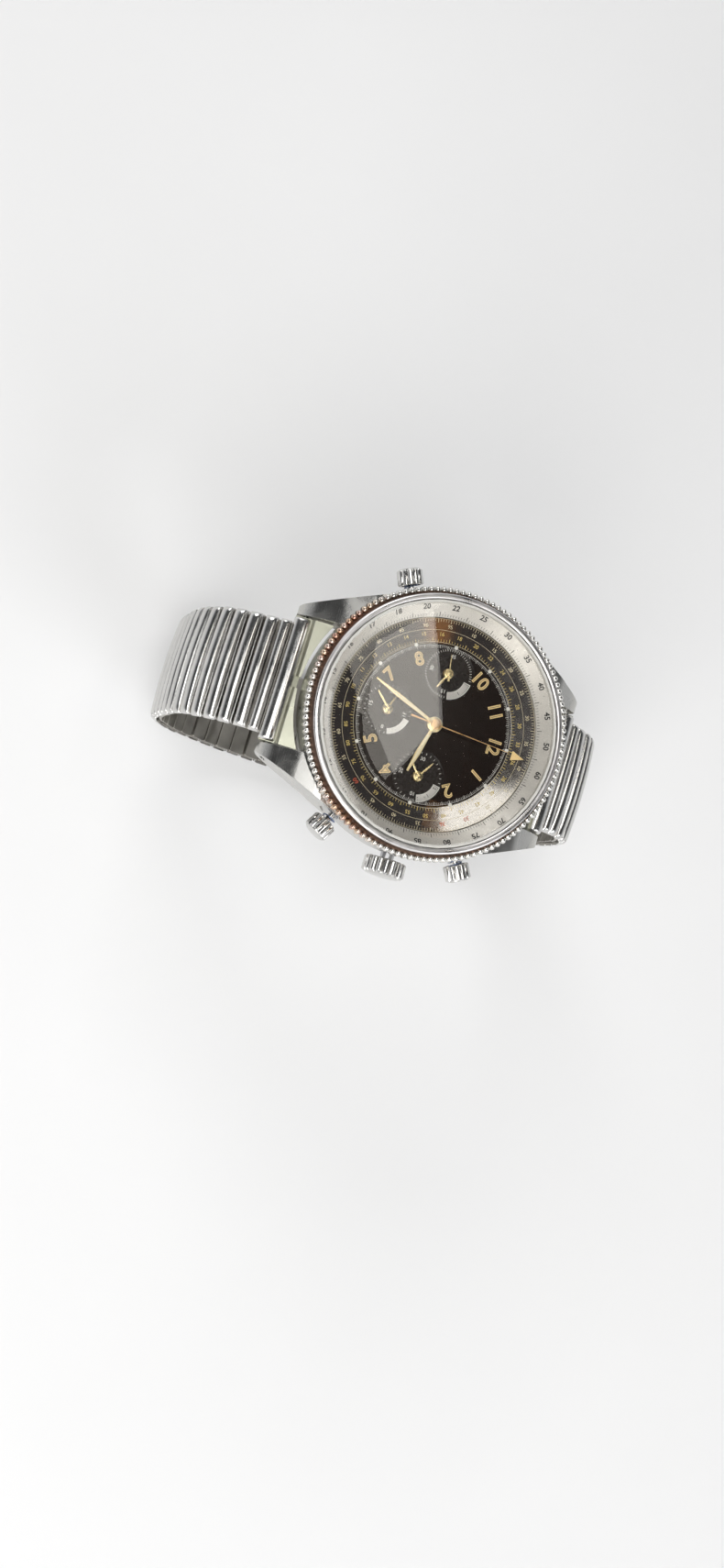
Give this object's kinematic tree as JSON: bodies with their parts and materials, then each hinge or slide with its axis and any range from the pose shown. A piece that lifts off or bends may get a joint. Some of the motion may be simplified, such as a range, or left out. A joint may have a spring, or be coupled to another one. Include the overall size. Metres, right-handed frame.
{
  "type": "mechanical wrist chronograph",
  "caption": "Wrist chronograph with small dials, calendar windows, a turning slide-rule bezel, crown, pushers and a sprung expansion bracelet closed in a loop.",
  "frame": {"origin": "centre of the case back's outer flat face", "axes": "+Z out of the dial, +Y to 12 o'clock, +X to 3 o'clock and the crown"},
  "size_m": [0.0472, 0.0702, 0.0542],
  "materials": {
    "case_steel": "satin with polished edges, worn",
    "case_back_steel": "circular brushed",
    "gasket_rubber": "matt",
    "bezel_steel": "polished, beaded edge",
    "spring_steel": "drawn wire",
    "slide_rule_silver": "satin silver with black scale print",
    "crystal_glass": "polished dome",
    "dial_black": "satin lacquer with gilt print",
    "calendar_white": "matt lacquer",
    "hand_gilt": "gilt, brushed",
    "movement_brass": "gilt, grained",
    "movement_steel": "fine grained",
    "crown_steel": "polished",
    "bracelet_steel": "polished bars, worn"
  },
  "bodies": {
    "case": {"case_middle": "case_steel", "case_back": "case_back_steel", "case_back_gasket": "gasket_rubber", "dial": "dial_black", "main_plate": "movement_brass", "movement_ring": "movement_steel", "train_bridge": "movement_brass", "balance_cock": "movement_brass", "crown_tube": "movement_steel", "spring_bar_six": "bracelet_steel", "spring_bar_twelve": "bracelet_steel"},
    "bezel": {"bezel": "bezel_steel", "bezel_spring_ring": "spring_steel", "slide_rule_ring": "slide_rule_silver", "crystal": "crystal_glass", "crystal_gasket": "gasket_rubber"},
    "stem": {"winding_stem": "movement_steel"},
    "crown": {"crown": "crown_steel"},
    "start_pusher": {"start_pusher": "crown_steel", "start_pusher_spring": "spring_steel"},
    "reset_pusher": {"reset_pusher": "crown_steel", "reset_pusher_spring": "spring_steel"},
    "corrector_pusher": {"corrector_pusher": "crown_steel", "corrector_pusher_spring": "spring_steel"},
    "seconds": {"fourth_wheel": "movement_brass", "running_seconds_hand": "hand_gilt"},
    "third_wheel": {"third_wheel": "movement_brass"},
    "centre_wheel": {"centre_wheel": "movement_brass", "minute_hand": "hand_gilt"},
    "hour_hand": {"hour_hand": "hand_gilt"},
    "barrel": {"barrel_drum": "movement_brass", "mainspring": "spring_steel"},
    "escape_wheel": {"escape_wheel": "movement_brass"},
    "pallet_fork": {"pallet_fork": "movement_steel"},
    "balance": {"balance_wheel": "movement_brass", "hairspring": "spring_steel"},
    "rotor": {"winding_rotor": "movement_steel"},
    "chrono_seconds": {"chrono_seconds_hand": "hand_gilt"},
    "minute_counter": {"thirty_minute_hand": "hand_gilt"},
    "hour_counter": {"twelve_hour_hand": "hand_gilt"},
    "date": {"date_hand": "hand_gilt"},
    "weekday": {"weekday_hand": "hand_gilt", "weekday_disc": "calendar_white"},
    "month": {"month_hand": "hand_gilt", "month_disc": "calendar_white"},
    "end_link_six": {"end_link_six": "bracelet_steel"},
    "expansion_six_1": {"expansion_links_six_1": "bracelet_steel"},
    "expansion_six_2": {"expansion_links_six_2": "bracelet_steel"},
    "expansion_six_3": {"expansion_links_six_3": "bracelet_steel"},
    "expansion_six_4": {"expansion_links_six_4": "bracelet_steel"},
    "expansion_six_5": {"expansion_links_six_5": "bracelet_steel"},
    "expansion_six_6": {"expansion_links_six_6": "bracelet_steel"},
    "expansion_six_7": {"expansion_links_six_7": "bracelet_steel"},
    "end_link_twelve": {"end_link_twelve": "bracelet_steel"},
    "expansion_twelve_1": {"expansion_links_twelve_1": "bracelet_steel"},
    "expansion_twelve_2": {"expansion_links_twelve_2": "bracelet_steel"},
    "expansion_twelve_3": {"expansion_links_twelve_3": "bracelet_steel"},
    "expansion_twelve_4": {"expansion_links_twelve_4": "bracelet_steel"},
    "expansion_twelve_5": {"expansion_links_twelve_5": "bracelet_steel"},
    "expansion_twelve_6": {"expansion_links_twelve_6": "bracelet_steel"}
  },
  "joints": [
    {"name": "bezel_turn", "type": "hinge", "parent": "case", "child": "bezel", "pos_m": [0, 0, 0.01], "axis": [0, 0, 1], "continuous": true},
    {"name": "crown_pull", "type": "slide", "parent": "case", "child": "stem", "axis": [1, 0, 0], "range_m": [0, 0.0012]},
    {"name": "crown_turn", "type": "hinge", "parent": "stem", "child": "crown", "pos_m": [0.022, 0, 0.0056], "axis": [1, 0, 0], "continuous": true},
    {"name": "start_pusher_press", "type": "slide", "parent": "case", "child": "start_pusher", "axis": [-0.866, -0.5, 0], "range_m": [0, 0.0008], "stiffness_N_per_m": 600, "deforming": ["start_pusher_spring"]},
    {"name": "reset_pusher_press", "type": "slide", "parent": "case", "child": "reset_pusher", "axis": [-0.866, 0.5, 0], "range_m": [0, 0.0008], "stiffness_N_per_m": 600, "deforming": ["reset_pusher_spring"]},
    {"name": "corrector_pusher_press", "type": "slide", "parent": "case", "child": "corrector_pusher", "axis": [0.9135, 0.4067, 0], "range_m": [0, 0.0008], "stiffness_N_per_m": 600, "deforming": ["corrector_pusher_spring"]},
    {"name": "running_seconds_turn", "type": "hinge", "parent": "case", "child": "seconds", "pos_m": [-0.0082, 0, 0.0054], "axis": [0, 0, 1], "continuous": true},
    {"name": "third_wheel_turn", "type": "hinge", "parent": "case", "child": "third_wheel", "pos_m": [-0.00427, 0.00284, 0.0049], "axis": [0, 0, 1], "continuous": true},
    {"name": "centre_wheel_turn", "type": "hinge", "parent": "case", "child": "centre_wheel", "pos_m": [0, 0, 0.0045], "axis": [0, 0, 1], "continuous": true},
    {"name": "hour_hand_turn", "type": "hinge", "parent": "case", "child": "hour_hand", "pos_m": [0, 0, 0.0097], "axis": [0, 0, 1], "continuous": true},
    {"name": "barrel_turn", "type": "hinge", "parent": "case", "child": "barrel", "pos_m": [0.00298, 0.00515, 0.0053], "axis": [0, 0, 1], "continuous": true},
    {"name": "escape_wheel_turn", "type": "hinge", "parent": "case", "child": "escape_wheel", "pos_m": [-0.00718, -0.00383, 0.0045], "axis": [0, 0, 1], "continuous": true},
    {"name": "pallet_fork_swing", "type": "hinge", "parent": "case", "child": "pallet_fork", "pos_m": [-0.00464, -0.00474, 0.0048], "axis": [0, 0, 1], "range_deg": [-5, 5]},
    {"name": "balance_swing", "type": "hinge", "parent": "case", "child": "balance", "pos_m": [-0.0023, -0.0075, 0.0055], "axis": [0, 0, 1], "range_deg": [-270, 270], "stiffness_Nm_per_rad": 0.000001, "deforming": ["hairspring"]},
    {"name": "rotor_turn", "type": "hinge", "parent": "case", "child": "rotor", "pos_m": [0, 0, 0.0024], "axis": [0, 0, 1], "continuous": true},
    {"name": "chrono_seconds_turn", "type": "hinge", "parent": "case", "child": "chrono_seconds", "pos_m": [0, 0, 0.0103], "axis": [0, 0, 1], "continuous": true},
    {"name": "minute_counter_turn", "type": "hinge", "parent": "case", "child": "minute_counter", "pos_m": [0.0082, 0, 0.0094], "axis": [0, 0, 1], "continuous": true},
    {"name": "hour_counter_turn", "type": "hinge", "parent": "case", "child": "hour_counter", "pos_m": [0, -0.0076, 0.0094], "axis": [0, 0, 1], "continuous": true},
    {"name": "weekday_turn", "type": "hinge", "parent": "case", "child": "weekday", "pos_m": [-0.0082, 0, 0.0092], "axis": [0, 0, 1], "continuous": true},
    {"name": "date_turn", "type": "hinge", "parent": "case", "child": "date", "pos_m": [0, -0.0076, 0.0092], "axis": [0, 0, 1], "continuous": true},
    {"name": "month_turn", "type": "hinge", "parent": "case", "child": "month", "pos_m": [0.0082, 0, 0.0092], "axis": [0, 0, 1], "continuous": true},
    {"name": "end_link_six_swing", "type": "hinge", "parent": "case", "child": "end_link_six", "pos_m": [0, -0.0223, 0.0024], "axis": [-1, 0, 0], "range_deg": [0, 4]},
    {"name": "expansion_six_1_slide", "type": "slide", "parent": "end_link_six", "child": "expansion_six_1", "axis": [0, -0.9126, -0.4089], "range_m": [0, 0.0018], "stiffness_N_per_m": 1500},
    {"name": "expansion_six_2_slide", "type": "slide", "parent": "expansion_six_1", "child": "expansion_six_2", "axis": [0, -0.4733, -0.8809], "range_m": [0, 0.00182]},
    {"name": "expansion_six_3_slide", "type": "slide", "parent": "expansion_six_2", "child": "expansion_six_3", "axis": [0, -0.0132, -0.9999], "range_m": [0, 0.00182]},
    {"name": "expansion_six_4_slide", "type": "slide", "parent": "expansion_six_3", "child": "expansion_six_4", "axis": [0, 0.2283, -0.9736], "range_m": [0, 0.00182]},
    {"name": "expansion_six_5_slide", "type": "slide", "parent": "expansion_six_4", "child": "expansion_six_5", "axis": [0, 0.8077, -0.5895], "range_m": [0, 0.00182]},
    {"name": "expansion_six_6_slide", "type": "slide", "parent": "expansion_six_5", "child": "expansion_six_6", "axis": [0, 0.9785, -0.206], "range_m": [0, 0.00182]},
    {"name": "expansion_six_7_slide", "type": "slide", "parent": "expansion_six_6", "child": "expansion_six_7", "axis": [0, 0.9993, -0.0379], "range_m": [0, 0.00182]},
    {"name": "end_link_twelve_swing", "type": "hinge", "parent": "case", "child": "end_link_twelve", "pos_m": [0, 0.0223, 0.0024], "axis": [1, 0, 0], "range_deg": [0, 4]},
    {"name": "expansion_twelve_1_slide", "type": "slide", "parent": "end_link_twelve", "child": "expansion_twelve_1", "axis": [0, 0.8218, -0.5698], "range_m": [0, 0.00182]},
    {"name": "expansion_twelve_2_slide", "type": "slide", "parent": "expansion_twelve_1", "child": "expansion_twelve_2", "axis": [0, 0.2498, -0.9683], "range_m": [0, 0.00182]},
    {"name": "expansion_twelve_3_slide", "type": "slide", "parent": "expansion_twelve_2", "child": "expansion_twelve_3", "axis": [0, -0.004, -1], "range_m": [0, 0.00182]},
    {"name": "expansion_twelve_4_slide", "type": "slide", "parent": "expansion_twelve_3", "child": "expansion_twelve_4", "axis": [0, -0.3848, -0.923], "range_m": [0, 0.00182]},
    {"name": "expansion_twelve_5_slide", "type": "slide", "parent": "expansion_twelve_4", "child": "expansion_twelve_5", "axis": [0, -0.8899, -0.4562], "range_m": [0, 0.00182]},
    {"name": "expansion_twelve_6_slide", "type": "slide", "parent": "expansion_twelve_5", "child": "expansion_twelve_6", "axis": [0, -0.9929, -0.1191], "range_m": [0, 0.00182]}
  ],
  "couplings": [
    {"joint": "third_wheel_turn", "follows": "running_seconds_turn", "ratio": -0.13333},
    {"joint": "centre_wheel_turn", "follows": "running_seconds_turn", "ratio": 0.016667},
    {"joint": "hour_hand_turn", "follows": "running_seconds_turn", "ratio": 0.0013889},
    {"joint": "barrel_turn", "follows": "running_seconds_turn", "ratio": -0.0027778},
    {"joint": "escape_wheel_turn", "follows": "running_seconds_turn", "ratio": -10},
    {"joint": "minute_counter_turn", "follows": "chrono_seconds_turn", "ratio": 0.033333},
    {"joint": "hour_counter_turn", "follows": "chrono_seconds_turn", "ratio": 0.0013889},
    {"joint": "date_turn", "follows": "weekday_turn", "ratio": 0.22581},
    {"joint": "month_turn", "follows": "weekday_turn", "ratio": 0.019165},
    {"joint": "expansion_six_2_slide", "follows": "expansion_six_1_slide", "ratio": 1},
    {"joint": "expansion_six_3_slide", "follows": "expansion_six_1_slide", "ratio": 1},
    {"joint": "expansion_six_4_slide", "follows": "expansion_six_1_slide", "ratio": 1},
    {"joint": "expansion_six_5_slide", "follows": "expansion_six_1_slide", "ratio": 1},
    {"joint": "expansion_six_6_slide", "follows": "expansion_six_1_slide", "ratio": 1},
    {"joint": "expansion_six_7_slide", "follows": "expansion_six_1_slide", "ratio": 1},
    {"joint": "expansion_twelve_1_slide", "follows": "expansion_six_1_slide", "ratio": 1},
    {"joint": "expansion_twelve_2_slide", "follows": "expansion_six_1_slide", "ratio": 1},
    {"joint": "expansion_twelve_3_slide", "follows": "expansion_six_1_slide", "ratio": 1},
    {"joint": "expansion_twelve_4_slide", "follows": "expansion_six_1_slide", "ratio": 1},
    {"joint": "expansion_twelve_5_slide", "follows": "expansion_six_1_slide", "ratio": 1},
    {"joint": "expansion_twelve_6_slide", "follows": "expansion_six_1_slide", "ratio": 1},
    {"joint": "end_link_six_swing", "follows": "expansion_six_1_slide", "rad_per_m": 36.846},
    {"joint": "end_link_twelve_swing", "follows": "expansion_six_1_slide", "rad_per_m": 36.846}
  ]
}
